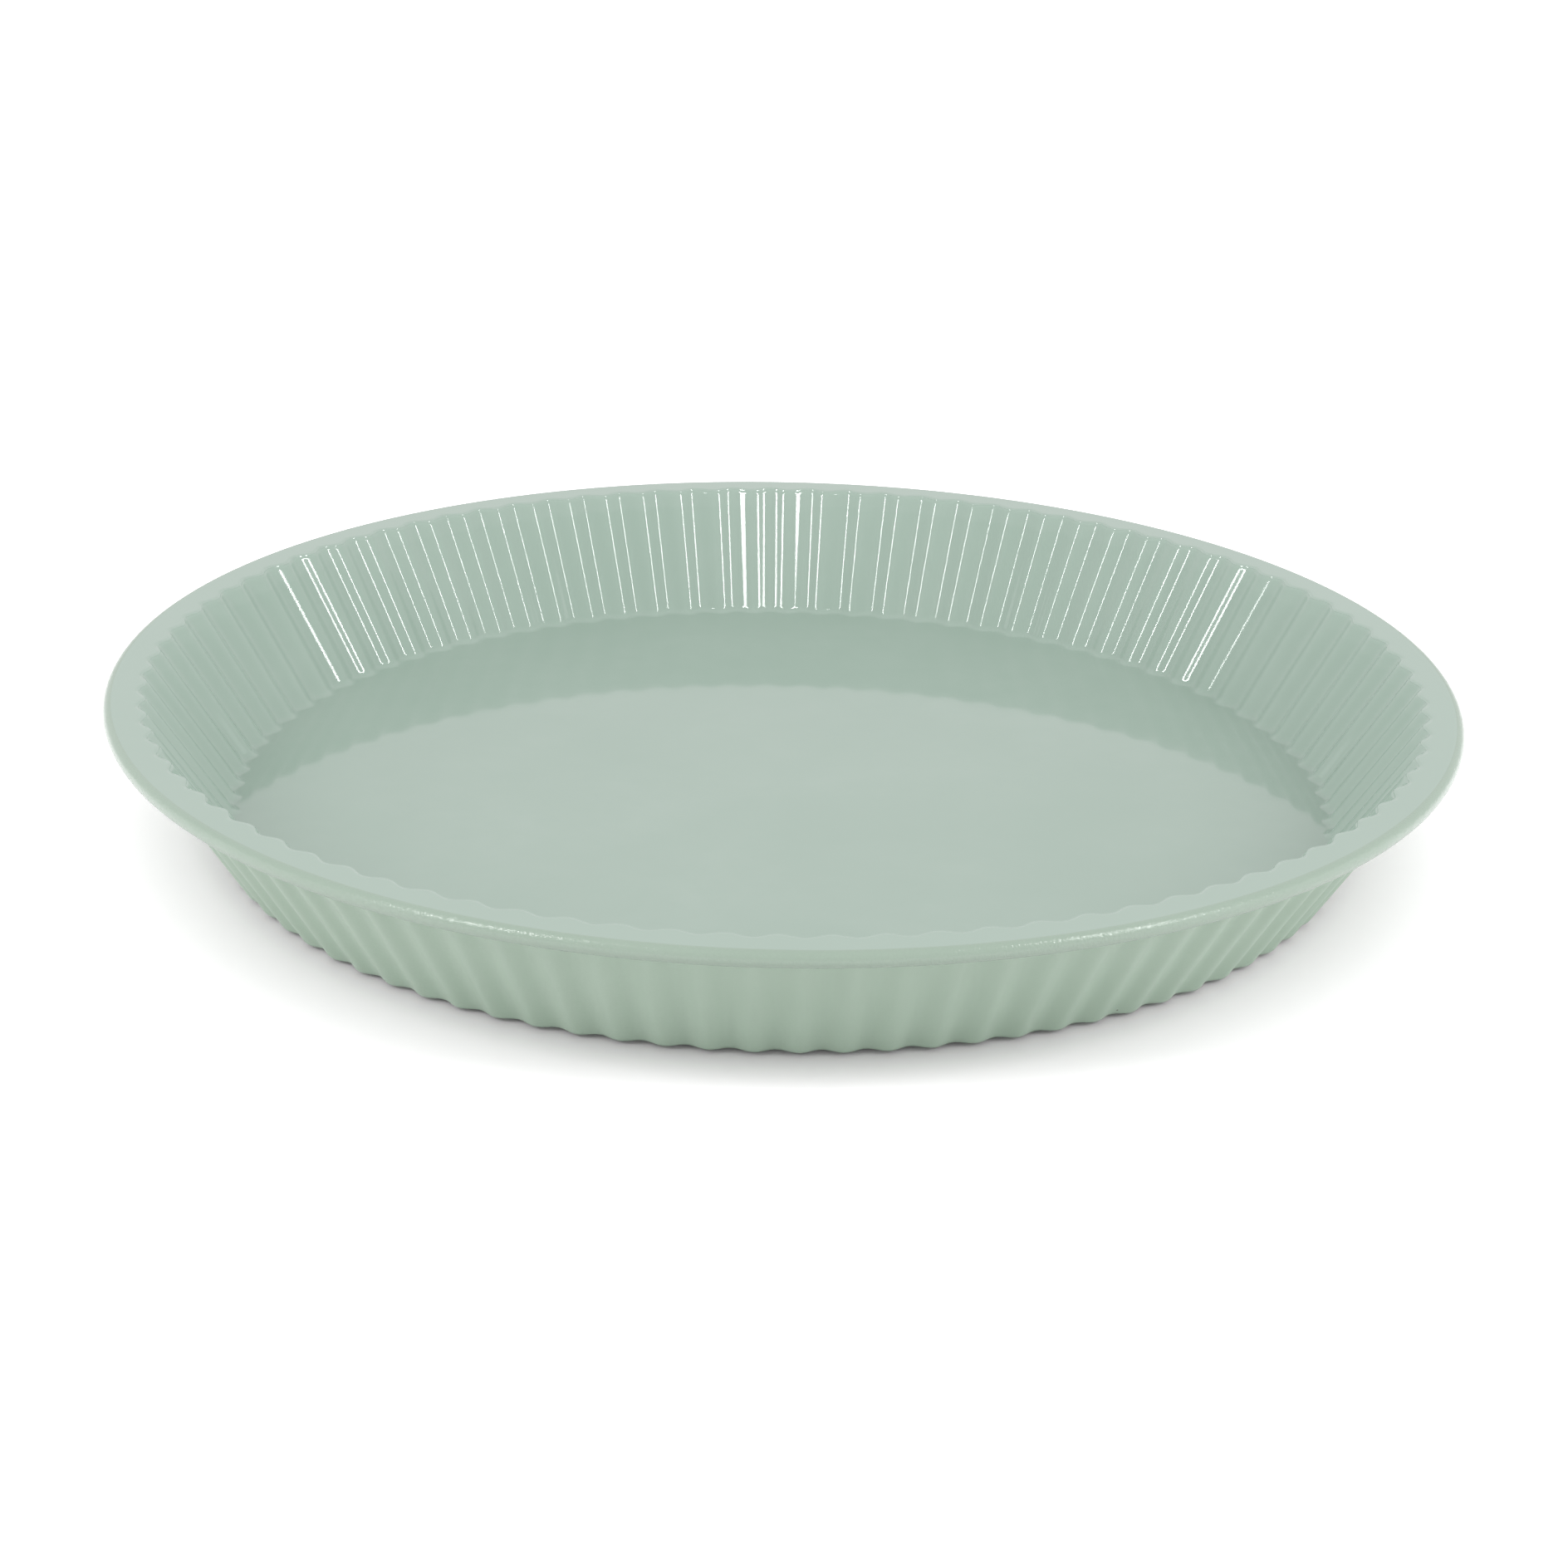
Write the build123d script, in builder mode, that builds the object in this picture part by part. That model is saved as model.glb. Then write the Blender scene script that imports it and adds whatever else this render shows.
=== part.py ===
"""Fluted quiche dish: a one-piece stoneware body and the coats of glaze fired onto it.

Millimetres, +Z up. The origin is the centre of the foot ring, on the surface the dish stands on.
The sizes are those of the glazed dish, and the clay lies one glaze thickness under them.
"""
import os
from math import cos, radians, sin, tan

from build123d import *

# Rim
rim_diameter = 300.0
rim_thickness = 3.6
rim_flat = 5.9

# Wall, floor and overall height; the wall thins from the foot to the rim
height = 33.0
wall_lean_angle = 33.8
wall_at_foot = 4.4
wall_at_rim = 3.6
floor_thickness = 4.6

# Flutes: the wall is a ring of arcs that bulge inward and meet in sharp ridges outside
flute_count = 90
flute_depth = 1.2

# Foot ring, left bare of glaze
foot_height = 0.8
foot_width = 5.0
foot_inset = 7.0

# Glaze
glaze_thickness = 0.45

# Flats in the half round of the rim, and the corners of a flute in the clay that the glaze hides
edge_flat_count = 6
clay_edge_flat_count = 2
clay_flute_shares = ((0, 0.1), (0.5, 1.05))

# Cuts pass the faces that they open by this much
overrun = 1.0

edge_radius = rim_thickness / 2
edge_centre = rim_diameter / 2 - edge_radius
rim_underside = height - rim_thickness
floor_top = foot_height + floor_thickness
mouth_radius = edge_centre - rim_flat
lean = tan(radians(wall_lean_angle))
lean_stretch = 1 / cos(radians(wall_lean_angle))
flute_angle = 360 / flute_count


def inner_face(level, depth):
    """Radius of the circle through the ridges at a height, this deep under the inside of the wall."""
    return mouth_radius - lean * (height - level) + lean_stretch * depth


def outer_face(level, depth):
    """Radius of the circle through the ridges at a height, this deep under the outside of the wall."""
    rise_share = (level - foot_height) / (rim_underside - foot_height)
    wall_thickness = wall_at_foot + (wall_at_rim - wall_at_foot) * rise_share
    return inner_face(level, wall_thickness - depth)


heel_radius = outer_face(foot_height, 0) - flute_depth
foot_outside = heel_radius - foot_inset
foot_inside = foot_outside - foot_width


def polar(radius, angle):
    return (radius * cos(radians(angle)), radius * sin(radians(angle)))


def scalloped_section(radius, level, in_clay):
    """Closed scalloped line, in arcs for a glazed face and in flats for the clay under it."""
    depth = flute_depth * radius / mouth_radius
    with BuildSketch(Plane.XY.offset(level)) as section:
        with BuildLine():
            if in_clay:
                corners = [
                    polar(radius - depth * depth_share, (flute + angle_share) * flute_angle)
                    for flute in range(flute_count)
                    for angle_share, depth_share in clay_flute_shares
                ]
                Polyline(*corners, close=True)
            else:
                for flute in range(flute_count):
                    ThreePointArc(
                        polar(radius, flute * flute_angle),
                        polar(radius - depth, (flute + 0.5) * flute_angle),
                        polar(radius, (flute + 1) * flute_angle),
                    )
        make_face()
    return section.sketch


def fluted_block(face, bottom, top, coat, in_clay, mode=Mode.ADD):
    """Solid inside a fluted face of the wall, or inside the one that lies under a coat there."""
    lower = scalloped_section(face(bottom, coat), bottom, in_clay)
    upper = scalloped_section(face(top, coat), top, in_clay)
    loft([lower, upper], ruled=True, mode=mode)


def rim_disc(coat, flat_count, mode=Mode.ADD):
    """Disc as thick as the rim under a coat, with its round edge in flats."""
    centre_level = height - edge_radius
    radius = edge_radius - coat
    with BuildSketch(Plane.XZ) as profile:
        with BuildLine():
            edge = [
                (edge_centre + radius * cos(angle), centre_level + radius * sin(angle))
                for angle in (radians(180 * flat / flat_count - 90) for flat in range(flat_count + 1))
            ]
            Polyline((0, centre_level - radius), *edge, (0, centre_level + radius), close=True)
        make_face()
    revolve(profile.sketch, axis=Axis.Z, mode=mode)


def flat_disc(bottom, top, radius, mode=Mode.ADD):
    with BuildSketch(Plane.XY.offset(bottom)) as circle:
        Circle(radius)
    extrude(circle.sketch, amount=top - bottom, mode=mode)


# Fired body: floor, fluted wall, rim and foot ring in one piece of clay
with BuildPart() as stoneware_body:
    fluted_block(
        outer_face,
        foot_height + glaze_thickness,
        rim_underside + glaze_thickness,
        glaze_thickness,
        in_clay=True,
    )
    rim_disc(glaze_thickness, clay_edge_flat_count)
    flat_disc(0, foot_height + glaze_thickness, foot_outside)
    flat_disc(0, foot_height + glaze_thickness, foot_inside, mode=Mode.SUBTRACT)
    fluted_block(
        inner_face,
        floor_top - glaze_thickness,
        height + overrun,
        glaze_thickness,
        in_clay=True,
        mode=Mode.SUBTRACT,
    )

# Gloss glaze of the inside: floor, wall and the flat top of the rim
with BuildPart() as interior_glaze:
    fluted_block(
        inner_face,
        floor_top - glaze_thickness,
        height - glaze_thickness,
        glaze_thickness,
        in_clay=True,
    )
    flat_disc(height - glaze_thickness, height, edge_centre)
    fluted_block(inner_face, floor_top, height, 0, in_clay=False, mode=Mode.SUBTRACT)

# Satin glaze of the outside: round edge, underside of the rim, wall and heel
with BuildPart() as exterior_glaze:
    fluted_block(outer_face, foot_height, rim_underside, 0, in_clay=False)
    rim_disc(0, edge_flat_count)
    fluted_block(
        outer_face,
        foot_height + glaze_thickness,
        rim_underside + glaze_thickness,
        glaze_thickness,
        in_clay=True,
        mode=Mode.SUBTRACT,
    )
    rim_disc(glaze_thickness, clay_edge_flat_count, mode=Mode.SUBTRACT)
    flat_disc(height - glaze_thickness, height + overrun, edge_centre, mode=Mode.SUBTRACT)
    flat_disc(foot_height - overrun, foot_height + glaze_thickness, foot_outside, mode=Mode.SUBTRACT)

# Glaze of the sunk base, inside the foot ring
with BuildPart() as base_glaze:
    flat_disc(foot_height, foot_height + glaze_thickness, foot_inside)

pieces = {
    "stoneware_body": stoneware_body,
    "interior_glaze": interior_glaze,
    "exterior_glaze": exterior_glaze,
    "base_glaze": base_glaze,
}
os.makedirs("parts", exist_ok=True)
for name, piece in pieces.items():
    piece.part.label = name
    export_step(piece.part, f"parts/{name}.step")
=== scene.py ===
"""Looks of the fluted quiche dish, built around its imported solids.

Metres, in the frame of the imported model: +Z up, the dish standing on z = 0, -Y towards the camera.
"""
import math

import bpy
import numpy as np
from mathutils import Matrix, Vector


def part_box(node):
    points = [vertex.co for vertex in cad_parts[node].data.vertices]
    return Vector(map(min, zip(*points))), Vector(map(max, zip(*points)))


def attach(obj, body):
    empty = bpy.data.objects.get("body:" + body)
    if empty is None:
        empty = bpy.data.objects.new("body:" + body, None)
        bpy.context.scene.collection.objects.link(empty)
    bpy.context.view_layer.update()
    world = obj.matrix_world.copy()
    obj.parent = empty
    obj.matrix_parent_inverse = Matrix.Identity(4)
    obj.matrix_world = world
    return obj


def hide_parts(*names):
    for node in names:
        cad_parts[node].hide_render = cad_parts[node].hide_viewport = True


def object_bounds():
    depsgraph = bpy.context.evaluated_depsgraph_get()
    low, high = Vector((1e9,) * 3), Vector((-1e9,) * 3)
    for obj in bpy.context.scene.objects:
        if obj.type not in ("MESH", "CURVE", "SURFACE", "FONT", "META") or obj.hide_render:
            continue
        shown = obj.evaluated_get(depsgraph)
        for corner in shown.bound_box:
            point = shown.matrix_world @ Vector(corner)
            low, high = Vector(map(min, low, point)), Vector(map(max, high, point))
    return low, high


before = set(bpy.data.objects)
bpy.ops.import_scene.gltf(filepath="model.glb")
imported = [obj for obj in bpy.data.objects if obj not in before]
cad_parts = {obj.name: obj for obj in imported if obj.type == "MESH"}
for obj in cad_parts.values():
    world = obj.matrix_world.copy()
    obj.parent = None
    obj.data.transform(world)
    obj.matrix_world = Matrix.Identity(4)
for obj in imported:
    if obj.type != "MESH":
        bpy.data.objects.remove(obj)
cad_low, cad_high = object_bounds()

MM = 0.001

# Sizes of the glazed dish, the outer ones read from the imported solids
GLAZE_THICKNESS = 0.45 * MM
RIM_RADIUS = cad_high.x
HEIGHT = cad_high.z
FLOOR_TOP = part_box("interior_glaze")[0].z + GLAZE_THICKNESS
HEEL_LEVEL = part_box("exterior_glaze")[0].z
EDGE_RADIUS = 1.8 * MM
EDGE_CENTRE = RIM_RADIUS - EDGE_RADIUS
EDGE_LEVEL = HEIGHT - EDGE_RADIUS
RIM_UNDERSIDE = HEIGHT - 2 * EDGE_RADIUS
RIM_FLAT = 5.9 * MM
MOUTH_RADIUS = EDGE_CENTRE - RIM_FLAT
WALL_AT_FOOT = 4.4 * MM
WALL_AT_RIM = 3.6 * MM
WALL_LEAN = math.radians(33.8)
FOOT_WIDTH = 5.0 * MM
FOOT_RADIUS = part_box("base_glaze")[1].x + FOOT_WIDTH

# Flutes: a smooth wave with a depth at the mouth, and how far its ridges lie outside the solid's
FLUTE_COUNT = 90
INNER_WAVE = (1.6 * MM, 0.1 * MM)
OUTER_WAVE = (1.6 * MM, 0.0 * MM)
STEPS_PER_FLUTE = 20

# Rounding of the corners
COVE_RADIUS = 2.4 * MM
MOUTH_ROUNDING = 2.0 * MM
UNDERCUT_RADIUS = 1.2 * MM
HEEL_ROUNDING = 1.8 * MM
FILLET_STEPS = 8
EDGE_STEPS = 24
EDGE_BACK_STEPS = 6
WALL_STEPS = 3

# Thin coats: the depth of their hidden backs, the width of a support row, and where flat faces end
COAT = 0.15 * MM
SUPPORT = 0.25 * MM
FLOOR_DISC_INSET = 7 * MM
SEAM_DROP = 0.02 * MM
SHARP_ANGLE = math.radians(40)

# Materials: the usual range of a noise, the band where the wall's glaze becomes the rim's, and shares
NOISE_RANGE = (0.3, 0.7)
RIM_BLEND_BELOW = 0.6 * MM
RIM_BLEND_ABOVE = 0.4 * MM
# Share of the rim's own colour; on the satin's round edge this is painted shade
RIM_PAINTED_SHADE_SHARE = 0.6
GRAIN_COLOUR_SHARE = 0.5
GLAZE_IOR = 1.47
IRON_SPECK = (0.20, 0.22, 0.17)
CLAY_LIGHT = (0.66, 0.58, 0.47)
CLAY_DARK = (0.52, 0.44, 0.34)
CLAY_SPECK = (0.30, 0.22, 0.15)

# White floor: its colour as light falls on it, and as it is seen: darker near the dish as a painted shadow,
# white away from it, and the shares of the rim's radius over which the painted shadow fades
FLOOR_HALF = 4.0
FLOOR_LIT = (0.80, 0.80, 0.80)
PAINTED_SHADOW_TINT = (0.92, 0.84, 0.90)
FAR_TINT = (1.86, 1.80, 1.85)
PAINTED_SHADOW_SHARES = (0.82, 1.14)

# Strength of the white world as light, from the horizon to straight above, and from front to rear
WORLD_RISING = (1.05, 0.42)
WORLD_TO_REAR = (0.84, 1.02)

# Soft lights, in metres and as radiance
STRIP = {"distance": 1.6, "width": 0.13, "length": 0.8, "radiance": 23.0}
PANEL = {"distance": 1.3, "width": 1.4, "length": 0.6, "radiance": 0.95}

# Camera: the photograph's width and the focal length in its pixels, angles in degrees, and places as
# shares of the rim's radius
PHOTO_PIXELS = 1888
FOCAL_PIXELS = 4048
SENSOR_WIDTH_MM = 36.0
CLIP_START = 0.01
CAMERA_ELEVATION = 21.82
CAMERA_ROLL = -1.265
CAMERA_DISTANCE_SHARE = 5.0214
CAMERA_ASIDE_SHARE = 0.0023
CAMERA_UP_SHARE = -0.1542


def inner_face(level, depth):
    """Radius of the circle through the ridges at a height, this deep under the inside of the wall."""
    return MOUTH_RADIUS - math.tan(WALL_LEAN) * (HEIGHT - level) + depth / math.cos(WALL_LEAN)


def outer_face(level, depth):
    """Radius of the circle through the ridges at a height, this deep under the outside of the wall."""
    rise_share = (level - HEEL_LEVEL) / (RIM_UNDERSIDE - HEEL_LEVEL)
    return inner_face(level, WALL_AT_FOOT + (WALL_AT_RIM - WALL_AT_FOOT) * rise_share - depth)


def flute_angles_and_shares():
    """Angles all round, and how far in the wave of the flutes lies there as a share of its depth."""
    place = np.arange(FLUTE_COUNT * STEPS_PER_FLUTE) / STEPS_PER_FLUTE
    return place * 2 * np.pi / FLUTE_COUNT, (1 - np.cos(2 * np.pi * place)) / 2


def points(radius, level, like):
    """One profile point for every angle; the radius may change with the angle."""
    return np.stack([np.broadcast_to(radius, like.shape), np.broadcast_to(level, like.shape)], axis=1)


def fluted_points(face, wave, level, depth, shares):
    """Profile points of a fluted face; the wave gets shallower towards the foot, like its circle."""
    wave_depth, reach = wave
    radius = face(level, depth)
    return points(radius + reach - wave_depth * radius / MOUTH_RADIUS * shares, level, shares)


def edge_points(radius, turn, shares):
    """Profile points on the half round of the rim; a turn of 0 is its outermost line."""
    return points(EDGE_CENTRE + radius * math.cos(turn), EDGE_LEVEL + radius * math.sin(turn), shares)


def unit(vectors):
    return vectors / np.linalg.norm(vectors, axis=1, keepdims=True)


def rounded_corner(before, corner, after, radius):
    """Rows of points round a corner of the profile, with one support row on each side."""
    to_before = unit(before - corner)
    to_after = unit(after - corner)
    half = np.arccos(np.clip((to_before * to_after).sum(1), -1, 1)) / 2
    run = (radius / np.tan(half))[:, None]
    centre = corner + unit(to_before + to_after) * (radius / np.sin(half))[:, None]
    first = corner + to_before * run - centre
    last = corner + to_after * run - centre
    turn = (np.pi - 2 * half)[:, None]
    rows = [corner + to_before * (run + SUPPORT)]
    for k in range(FILLET_STEPS + 1):
        t = k / FILLET_STEPS
        rows.append(centre + (np.sin((1 - t) * turn) * first + np.sin(t * turn) * last) / np.sin(turn))
    rows.append(corner + to_after * (run + SUPPORT))
    return rows


def straight(first, last, count):
    """Rows of points between two rows."""
    return [first + (last - first) * k / (count + 1) for k in range(1, count + 1)]


def placed(name, data):
    """Object for a mesh, a light or a camera, linked to the scene."""
    piece = bpy.data.objects.new(name, data)
    bpy.context.scene.collection.objects.link(piece)
    return piece


def turned_mesh(name, angles, rows, closed_ends):
    """Mesh turned from rows of (radius, level). The ends are closed by one face each, or joined."""
    count = len(angles)
    cos, sin = np.cos(angles), np.sin(angles)
    places = np.concatenate([
        np.stack([row[:, 0] * cos, row[:, 0] * sin, row[:, 1]], axis=1) for row in rows
    ])
    ring = np.arange(count)
    following = (ring + 1) % count
    faces = []
    pairs = [(k, k + 1) for k in range(len(rows) - 1)]
    if not closed_ends:
        pairs.append((len(rows) - 1, 0))
    for low, high in pairs:
        quads = np.stack([
            ring + low * count, ring + high * count, following + high * count, following + low * count,
        ], axis=1)
        faces.extend(quads.tolist())
    if closed_ends:
        faces.append(ring.tolist())
        faces.append((ring + (len(rows) - 1) * count)[::-1].tolist())
    mesh = bpy.data.meshes.new(name)
    mesh.from_pydata(places.tolist(), [], faces)
    mesh.update()
    mesh.shade_smooth()
    mesh.set_sharp_from_angle(angle=SHARP_ANGLE)
    return placed(name, mesh)


def inside_coat():
    """Floor, cove, fluted wall, rounded mouth and flat rim, closed by a hidden back."""
    angles, shares = flute_angles_and_shares()
    floor_disc_radius = inner_face(FLOOR_TOP, 0) - FLOOR_DISC_INSET
    floor_ring = points(floor_disc_radius, FLOOR_TOP, shares)
    floor_corner = fluted_points(inner_face, INNER_WAVE, FLOOR_TOP, 0, shares)
    mouth_corner = fluted_points(inner_face, INNER_WAVE, HEIGHT, 0, shares)
    rim_end = points(EDGE_CENTRE, HEIGHT, shares)
    cove = rounded_corner(floor_ring, floor_corner, mouth_corner, COVE_RADIUS)
    mouth = rounded_corner(floor_corner, mouth_corner, rim_end, MOUTH_ROUNDING)
    rows = [floor_ring, *cove, *straight(cove[-1], mouth[0], WALL_STEPS), *mouth]
    rows.append(points(EDGE_CENTRE - SUPPORT, HEIGHT, shares))
    rows.append(rim_end)
    rows.append(points(EDGE_CENTRE, HEIGHT - COAT, shares))
    rows.append(fluted_points(inner_face, INNER_WAVE, HEIGHT - COAT, COAT, shares))
    rows.append(fluted_points(inner_face, INNER_WAVE, FLOOR_TOP - COAT, COAT, shares))
    rows.append(points(floor_disc_radius, FLOOR_TOP - COAT, shares))
    return turned_mesh("dish_inside", angles, rows, closed_ends=True)


def outside_coat():
    """Round edge, underside of the rim, fluted wall, rounded heel and base up to the foot ring."""
    angles, shares = flute_angles_and_shares()
    under_corner = fluted_points(outer_face, OUTER_WAVE, RIM_UNDERSIDE, 0, shares)
    heel_corner = fluted_points(outer_face, OUTER_WAVE, HEEL_LEVEL, 0, shares)
    edge_end = points(EDGE_CENTRE, RIM_UNDERSIDE, shares)
    foot_ring = points(FOOT_RADIUS, HEEL_LEVEL, shares)
    undercut = rounded_corner(edge_end, under_corner, heel_corner, UNDERCUT_RADIUS)
    heel = rounded_corner(under_corner, heel_corner, foot_ring, HEEL_ROUNDING)
    rows = [points(EDGE_CENTRE - 2 * SUPPORT, HEIGHT - SEAM_DROP, shares)]
    for k in range(EDGE_STEPS + 1):
        rows.append(edge_points(EDGE_RADIUS, math.pi * (0.5 - k / EDGE_STEPS), shares))
    rows.append(points(EDGE_CENTRE - SUPPORT, RIM_UNDERSIDE, shares))
    rows += [*undercut, *straight(undercut[-1], heel[0], WALL_STEPS), *heel]
    rows.append(foot_ring)
    rows.append(points(FOOT_RADIUS, HEEL_LEVEL + COAT, shares))
    rows.append(fluted_points(outer_face, OUTER_WAVE, HEEL_LEVEL + COAT, COAT, shares))
    rows.append(fluted_points(outer_face, OUTER_WAVE, RIM_UNDERSIDE + COAT, COAT, shares))
    for k in range(EDGE_BACK_STEPS + 1):
        rows.append(edge_points(EDGE_RADIUS - COAT, math.pi * (k / EDGE_BACK_STEPS - 0.5), shares))
    return turned_mesh("dish_outside", angles, rows, closed_ends=False)


def add(tree, kind, **settings):
    node = tree.nodes.new(kind)
    for name, value in settings.items():
        setattr(node, name, value)
    return node


def noise(tree, place, scale, detail):
    node = add(tree, "ShaderNodeTexNoise")
    tree.links.new(place, node.inputs["Vector"])
    node.inputs["Scale"].default_value = scale
    node.inputs["Detail"].default_value = detail
    return node.outputs["Fac"]


def spread(tree, value, from_low, from_high, to_low, to_high):
    """Value moved from one range to another, and held at its ends."""
    node = add(tree, "ShaderNodeMapRange")
    tree.links.new(value, node.inputs["Value"])
    node.inputs["From Min"].default_value = from_low
    node.inputs["From Max"].default_value = from_high
    node.inputs["To Min"].default_value = to_low
    node.inputs["To Max"].default_value = to_high
    return node.outputs["Result"]


def clouds(tree, place, scale, detail, low, high):
    """Soft clouds that run between two values."""
    return spread(tree, noise(tree, place, scale, detail), *NOISE_RANGE, low, high)


def mixed(tree, factor, first, second):
    """Colour mix; each colour is a tuple or an output."""
    node = add(tree, "ShaderNodeMix", data_type="RGBA")
    tree.links.new(factor, node.inputs["Factor"])
    for name, colour in (("A", first), ("B", second)):
        socket = [s for s in node.inputs if s.name == name and s.type == "RGBA"][0]
        if isinstance(colour, tuple):
            socket.default_value = (*colour, 1.0)
        else:
            tree.links.new(colour, socket)
    return [s for s in node.outputs if s.type == "RGBA"][0]


def combined(tree, operation, first, second):
    """Math of two outputs."""
    node = add(tree, "ShaderNodeMath", operation=operation)
    tree.links.new(first, node.inputs[0])
    tree.links.new(second, node.inputs[1])
    return node.outputs[0]


def below(tree, value, limit):
    """1 where a value is below a limit, 0 elsewhere."""
    node = add(tree, "ShaderNodeMath", operation="LESS_THAN")
    tree.links.new(value, node.inputs[0])
    node.inputs[1].default_value = limit
    return node.outputs[0]


def seen_plainly(tree):
    """1 where the camera sees a surface, straight or through a reflection or a transmission."""
    path = add(tree, "ShaderNodeLightPath")
    seen = path.outputs["Is Camera Ray"]
    for name in ("Is Glossy Ray", "Is Transmission Ray"):
        seen = combined(tree, "MAXIMUM", seen, path.outputs[name])
    return seen


def specks(tree, place, scale, radius, kept_share):
    """1 inside small round specks in some cells of a grid this fine, 0 elsewhere."""
    cells = add(tree, "ShaderNodeTexVoronoi", feature="F1")
    tree.links.new(place, cells.inputs["Vector"])
    cells.inputs["Scale"].default_value = scale
    near = below(tree, cells.outputs["Distance"], radius * scale)
    split = add(tree, "ShaderNodeSeparateColor")
    tree.links.new(cells.outputs["Color"], split.inputs[0])
    return combined(tree, "MULTIPLY", near, below(tree, split.outputs[0], kept_share))


def bumped(tree, shader, height, distance):
    bump = add(tree, "ShaderNodeBump")
    bump.inputs["Strength"].default_value = 1.0
    bump.inputs["Distance"].default_value = distance
    tree.links.new(height, bump.inputs["Height"])
    tree.links.new(bump.outputs["Normal"], shader.inputs["Normal"])


def rim_share(tree, place):
    """1 on the rim, 0 on the wall under it."""
    level = add(tree, "ShaderNodeSeparateXYZ")
    tree.links.new(place, level.inputs[0])
    start, end = RIM_UNDERSIDE - RIM_BLEND_BELOW, RIM_UNDERSIDE + RIM_BLEND_ABOVE
    return spread(tree, level.outputs["Z"], start, end, 0.0, 1.0)


def new_material(name):
    material = bpy.data.materials.new(name)
    material.use_nodes = True
    tree = material.node_tree
    return material, tree, tree.nodes["Principled BSDF"]


def glaze_material(
    name, light, dark, rim_painted_shade, roughness, rim_roughness, grain_scale, grain_height, rim_grain_height,
):
    """Pale opaque glaze with soft clouds, a fine grain and iron specks; the rim has values of its own, and
    its colour is mixed towards a rim colour that can carry painted shade.
    """
    material, tree, shader = new_material(name)
    place = add(tree, "ShaderNodeTexCoord").outputs["Object"]
    colour = mixed(tree, clouds(tree, place, 22, 3.0, 0.0, 1.0), light, dark)
    grain = noise(tree, place, grain_scale, 2.0)
    colour = mixed(tree, spread(tree, grain, *NOISE_RANGE, 0.0, GRAIN_COLOUR_SHARE), colour, dark)
    rim = rim_share(tree, place)
    # Painted shade: the rim's colour is mixed in, darker on the satin's round edge where less light reaches
    # it
    colour = mixed(tree, spread(tree, rim, 0.0, 1.0, 0.0, RIM_PAINTED_SHADE_SHARE), colour, rim_painted_shade)
    iron = specks(tree, place, scale=90, radius=0.22 * MM, kept_share=0.06)
    tree.links.new(mixed(tree, iron, colour, IRON_SPECK), shader.inputs["Base Color"])
    uneven = clouds(tree, place, 60, 3.0, 0.85, 1.15)
    plain = spread(tree, rim, 0.0, 1.0, roughness, rim_roughness)
    tree.links.new(combined(tree, "MULTIPLY", uneven, plain), shader.inputs["Roughness"])
    relief = spread(tree, rim, 0.0, 1.0, grain_height, rim_grain_height)
    bumped(tree, shader, combined(tree, "MULTIPLY", grain, relief), 1.0)
    shader.inputs["IOR"].default_value = GLAZE_IOR
    return material


def clay_material():
    """Bare fired clay of the foot ring: matt, sandy and slightly speckled."""
    material, tree, shader = new_material("bare_clay")
    place = add(tree, "ShaderNodeTexCoord").outputs["Object"]
    colour = mixed(tree, clouds(tree, place, 90, 4.0, 0.0, 1.0), CLAY_LIGHT, CLAY_DARK)
    grit = specks(tree, place, scale=600, radius=0.25 * MM, kept_share=0.25)
    tree.links.new(mixed(tree, grit, colour, CLAY_SPECK), shader.inputs["Base Color"])
    shader.inputs["Roughness"].default_value = 0.85
    bumped(tree, shader, noise(tree, place, 1800, 4.0), 0.06 * MM)
    return material


def dress(piece, material):
    piece.data.materials.clear()
    piece.data.materials.append(material)


def white_floor():
    """Plain white floor that keeps the shadow. Seen, it is darker by the dish, a painted shadow, and
    brighter away from it.
    """
    mesh = bpy.data.meshes.new("floor")
    corners = [(x * FLOOR_HALF, y * FLOOR_HALF, 0) for x, y in ((-1, -1), (1, -1), (1, 1), (-1, 1))]
    mesh.from_pydata(corners, [], [(0, 1, 2, 3)])
    floor = placed("floor", mesh)
    material, tree, shader = new_material("white_floor")
    shader.inputs["Roughness"].default_value = 1.0
    shader.inputs["Specular IOR Level"].default_value = 0.0
    distance = add(tree, "ShaderNodeVectorMath", operation="LENGTH")
    tree.links.new(add(tree, "ShaderNodeTexCoord").outputs["Object"], distance.inputs[0])
    start, end = (share * RIM_RADIUS for share in PAINTED_SHADOW_SHARES)
    painted_shadow_fade = spread(tree, distance.outputs["Value"], start, end, 0.0, 1.0)
    # Painted shadow: the floor is seen darker near the dish, fading to white away from it
    seen = mixed(tree, painted_shadow_fade, PAINTED_SHADOW_TINT, FAR_TINT)
    tree.links.new(mixed(tree, seen_plainly(tree), FLOOR_LIT, seen), shader.inputs["Base Color"])
    dress(floor, material)


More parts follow.
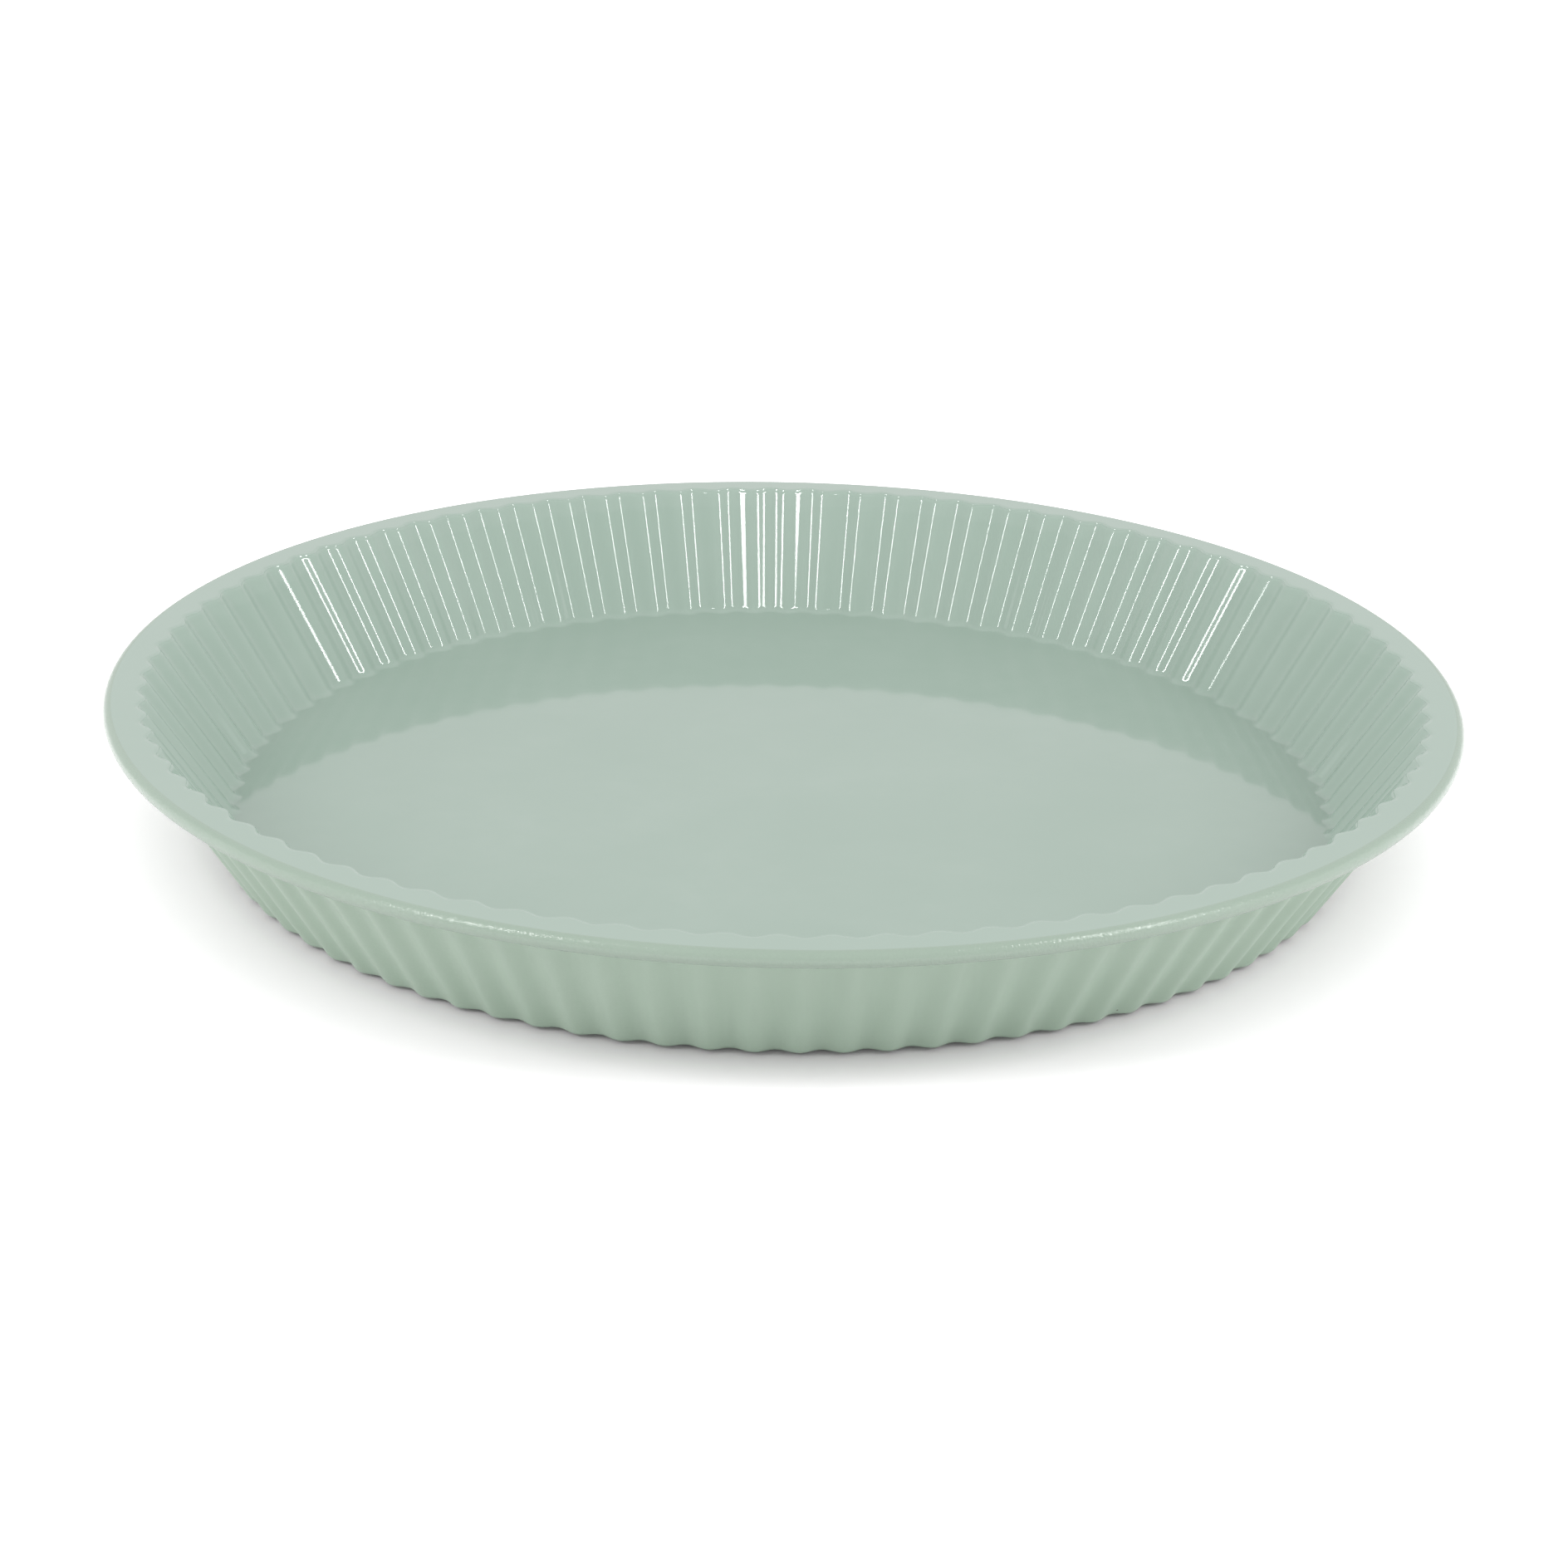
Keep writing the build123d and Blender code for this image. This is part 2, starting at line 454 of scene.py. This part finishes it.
def white_world():
    """White surroundings: plain white where they are seen; as light, dimmer above and in front."""
    world = bpy.data.worlds.new("studio")
    bpy.context.scene.world = world
    world.use_nodes = True
    tree = world.node_tree
    background = tree.nodes["Background"]
    background.inputs["Color"].default_value = (1.0, 1.0, 1.0, 1.0)
    direction = add(tree, "ShaderNodeSeparateXYZ")
    tree.links.new(add(tree, "ShaderNodeTexCoord").outputs["Generated"], direction.inputs[0])
    rising = spread(tree, direction.outputs["Z"], 0, 1, *WORLD_RISING)
    to_rear = spread(tree, direction.outputs["Y"], -1, 1, *WORLD_TO_REAR)
    strength = add(tree, "ShaderNodeMix")
    tree.links.new(seen_plainly(tree), strength.inputs["Factor"])
    tree.links.new(combined(tree, "MULTIPLY", rising, to_rear), strength.inputs["A"])
    strength.inputs["B"].default_value = 1.0
    tree.links.new(strength.outputs["Result"], background.inputs["Strength"])


def soft_light(name, azimuth, elevation, distance, width, length, radiance):
    """Soft light that faces the dish; azimuth 0 is the camera's side and grows to the right."""
    data = bpy.data.lights.new(name, "AREA")
    data.shape = "RECTANGLE"
    data.size = width
    data.size_y = length
    data.energy = radiance * math.pi * width * length
    a, e = math.radians(azimuth), math.radians(elevation)
    back = Vector((math.sin(a) * math.cos(e), -math.cos(a) * math.cos(e), math.sin(e)))
    up = Vector((-math.sin(a) * math.sin(e), math.cos(a) * math.sin(e), math.cos(e)))
    turn = Matrix((up.cross(back), up, back)).transposed().to_4x4()
    placed(name, data).matrix_world = Matrix.Translation(back * distance) @ turn


def camera():
    """Camera at the photograph's angle, placed from the middle of the rim's widest line."""
    data = bpy.data.cameras.new("camera")
    data.sensor_width = SENSOR_WIDTH_MM
    data.lens = FOCAL_PIXELS / PHOTO_PIXELS * data.sensor_width
    data.clip_start = CLIP_START
    e = math.radians(CAMERA_ELEVATION)
    back = Vector((0, -math.cos(e), math.sin(e)))
    right = Vector((1, 0, 0))
    up = back.cross(right)
    place = back * CAMERA_DISTANCE_SHARE + right * CAMERA_ASIDE_SHARE + up * CAMERA_UP_SHARE
    roll = math.radians(CAMERA_ROLL)
    rolled_right = right * math.cos(roll) - up * math.sin(roll)
    rolled_up = right * math.sin(roll) + up * math.cos(roll)
    turn = Matrix((rolled_right, rolled_up, back)).transposed().to_4x4()
    piece = placed("camera", data)
    piece.matrix_world = Matrix.Translation(Vector((0, 0, EDGE_LEVEL)) + place * RIM_RADIUS) @ turn
    bpy.context.scene.camera = piece


gloss = glaze_material(
    "gloss_glaze",
    light=(0.402, 0.503, 0.438),
    dark=(0.374, 0.480, 0.412),
    rim_painted_shade=(0.402, 0.503, 0.438),
    roughness=0.06,
    rim_roughness=0.06,
    grain_scale=120,
    grain_height=0.0003 * MM,
    rim_grain_height=0.0003 * MM,
)
satin = glaze_material(
    "satin_glaze",
    light=(0.490, 0.606, 0.505),
    dark=(0.445, 0.562, 0.460),
    # Rim colour darker than the glaze: painted shade on the round edge
    rim_painted_shade=(0.300, 0.378, 0.315),
    roughness=0.40,
    rim_roughness=0.13,
    grain_scale=2000,
    grain_height=0.006 * MM,
    rim_grain_height=0.10 * MM,
)
clay = clay_material()

inside = inside_coat()
dress(inside, gloss)
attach(inside, "root")
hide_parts("interior_glaze")

outside = outside_coat()
dress(outside, satin)
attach(outside, "root")
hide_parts("exterior_glaze")

dress(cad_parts["stoneware_body"], clay)
dress(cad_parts["base_glaze"], satin)

white_floor()
white_world()
soft_light("left_strip", azimuth=-55, elevation=42, **STRIP)
soft_light("right_strip", azimuth=64, elevation=40, **STRIP)
for side in (-1, 1):
    soft_light("side_panel", azimuth=side * 84, elevation=14, **PANEL)
camera()

bpy.context.scene.view_settings.view_transform = "Standard"
